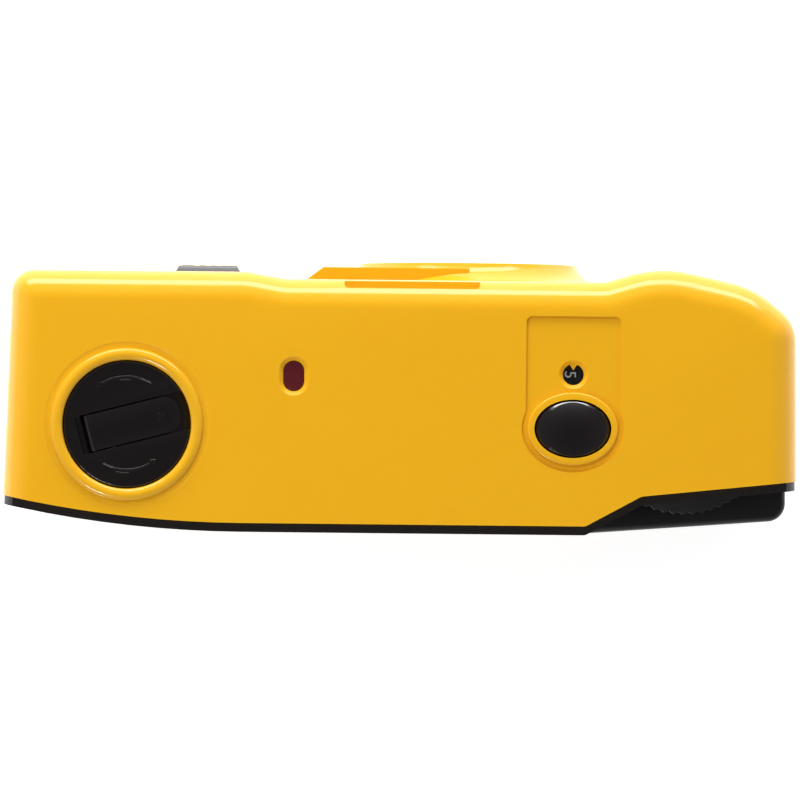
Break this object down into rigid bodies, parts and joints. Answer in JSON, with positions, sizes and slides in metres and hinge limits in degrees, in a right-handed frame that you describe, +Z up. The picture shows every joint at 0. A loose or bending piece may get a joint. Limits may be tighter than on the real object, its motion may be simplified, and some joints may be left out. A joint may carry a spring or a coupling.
{
  "type": "compact film camera",
  "caption": "Compact 35 mm film camera with built-in flash, folding rewind crank, thumbwheel film advance, hinged film door and battery hatch.",
  "frame": {"origin": "on the base, below the middle of the body width, in the plane of the film wheel shafts", "axes": "+X to the rewind side, -Y to the front with the lens, +Y to the film door, +Z up"},
  "size_m": [0.1141, 0.0401, 0.0641],
  "materials": {
    "cover_yellow": "gloss",
    "chassis_black": "satin",
    "door_black": "satin",
    "steel": "brushed",
    "plate_black": "satin",
    "spring_steel": "polished",
    "foam": "matte",
    "bezel_black": "matte",
    "lens_glass": "polished",
    "clear_window": "polished",
    "reflector": "polished",
    "circuit_board": "satin",
    "capacitor_sleeve": "gloss",
    "winding": "satin",
    "contact_brass": "satin",
    "red_window": "gloss",
    "gloss_black": "gloss",
    "cell_wrap": "gloss",
    "screw_steel": "satin"
  },
  "bodies": {
    "camera": {"front_cover": "cover_yellow", "main_body": "chassis_black", "hinge_pin": "steel", "door_seal": "foam", "latch_spring": "spring_steel", "lens_bezel": "bezel_black", "lens_barrel": "bezel_black", "front_lens": "lens_glass", "lens_retainer": "bezel_black", "aperture_plate": "plate_black", "shutter_plate": "plate_black", "shutter_spring": "spring_steel", "viewfinder_housing": "chassis_black", "viewfinder_lens": "clear_window", "eyepiece_lens": "clear_window", "flash_window": "clear_window", "flash_reflector": "reflector", "flash_tube": "clear_window", "flash_board": "circuit_board", "flash_capacitor": "capacitor_sleeve", "flash_transformer": "winding", "trigger_coil": "winding", "switch_contact": "contact_brass", "ready_lamp": "clear_window", "ready_window": "red_window", "battery": "cell_wrap", "battery_top_contact": "spring_steel", "battery_door_pin": "steel", "button_spring": "spring_steel", "release_pin": "steel", "counter_window": "clear_window", "release_spring": "spring_steel", "strap_bar": "steel", "cover_screws": "screw_steel"},
    "film_door": {"back_door": "door_black", "pressure_plate": "plate_black", "pressure_spring": "spring_steel"},
    "latch": {"door_latch": "chassis_black"},
    "rewind_lift": {"rewind_collar": "chassis_black"},
    "rewind": {"rewind_knob": "gloss_black", "rewind_shaft": "chassis_black", "crank_pin": "steel"},
    "crank": {"crank_lever": "gloss_black"},
    "button": {"shutter_button": "gloss_black"},
    "release": {"release_lever": "chassis_black"},
    "flash_slider": {"flash_switch": "gloss_black"},
    "advance": {"advance_wheel": "chassis_black", "takeup_spool": "chassis_black"},
    "pawl": {"reverse_pawl": "steel"},
    "film_sprocket": {"sprocket": "chassis_black"},
    "dial": {"counter_dial": "gloss_black"},
    "drive": {"drive_lever": "steel"},
    "blade": {"shutter_blade": "plate_black"},
    "hatch": {"battery_door": "chassis_black", "battery_door_contact": "spring_steel"},
    "release_button": {"rewind_release_button": "gloss_black"}
  },
  "joints": [
    {"name": "door_hinge", "type": "hinge", "parent": "camera", "child": "film_door", "pos_m": [-0.0533, 0.0134, 0.026], "axis": [0, 0, 1], "range_deg": [0, 100]},
    {"name": "latch_slide", "type": "slide", "parent": "camera", "child": "latch", "axis": [0, 0, 1], "range_m": [0, 0.003], "stiffness_N_per_m": 150, "deforming": ["latch_spring"]},
    {"name": "rewind_lift_slide", "type": "slide", "parent": "camera", "child": "rewind_lift", "axis": [0, 0, 1], "range_m": [0, 0.006]},
    {"name": "rewind_turn", "type": "hinge", "parent": "rewind_lift", "child": "rewind", "pos_m": [0.03895, 0.0035, 0.0596], "axis": [0, 0, 1], "continuous": true},
    {"name": "crank_fold", "type": "hinge", "parent": "rewind", "child": "crank", "pos_m": [0.04398, 0.0048, 0.06284], "axis": [-0.2504, 0.9681, 0], "range_deg": [0, 130]},
    {"name": "button_press", "type": "slide", "parent": "camera", "child": "button", "axis": [0, 0, -1], "range_m": [0, 0.0008], "stiffness_N_per_m": 400, "deforming": ["button_spring"]},
    {"name": "release_rock", "type": "hinge", "parent": "camera", "child": "release", "pos_m": [-0.0247, -0.0024, 0.054], "axis": [-1, 0, 0], "range_deg": [0, 8.5]},
    {"name": "flash_slide", "type": "slide", "parent": "camera", "child": "flash_slider", "axis": [1, 0, 0], "range_m": [0, 0.006]},
    {"name": "advance_turn", "type": "hinge", "parent": "camera", "child": "advance", "pos_m": [-0.0408, 0.0025, 0.0536], "axis": [0, 0, 1], "continuous": true},
    {"name": "pawl_pivot", "type": "hinge", "parent": "camera", "child": "pawl", "pos_m": [-0.03188, -0.00553, 0.052], "axis": [0, 0, 1], "range_deg": [0, 10]},
    {"name": "sprocket_turn", "type": "hinge", "parent": "camera", "child": "film_sprocket", "pos_m": [-0.017, 0.00645, 0.0426], "axis": [0, 0, 1], "continuous": true},
    {"name": "dial_turn", "type": "hinge", "parent": "camera", "child": "dial", "pos_m": [-0.01905, -0.00425, 0.0587], "axis": [0, 0, 1], "continuous": true},
    {"name": "drive_pivot", "type": "hinge", "parent": "camera", "child": "drive", "pos_m": [-0.0214, -0.0086, 0.0375], "axis": [0, 1, 0], "range_deg": [0, 25], "stiffness_Nm_per_rad": 0.0002},
    {"name": "blade_pivot", "type": "hinge", "parent": "camera", "child": "blade", "pos_m": [-0.0184, -0.0074, 0.034], "axis": [0, 1, 0], "range_deg": [0, 50]},
    {"name": "hatch_hinge", "type": "hinge", "parent": "camera", "child": "hatch", "pos_m": [0.0193, 0.0107, 0.0009], "axis": [1, 0, 0], "range_deg": [0, 95]},
    {"name": "release_push", "type": "slide", "parent": "camera", "child": "release_button", "axis": [0, 0, 1], "range_m": [0, 0.0012], "stiffness_N_per_m": 150, "deforming": ["release_spring"]}
  ],
  "couplings": [
    {"joint": "release_rock", "follows": "button_press", "rad_per_m": 169.49},
    {"joint": "dial_turn", "follows": "sprocket_turn", "ratio": -0.025},
    {"joint": "blade_pivot", "follows": "drive_pivot", "ratio": 2}
  ]
}
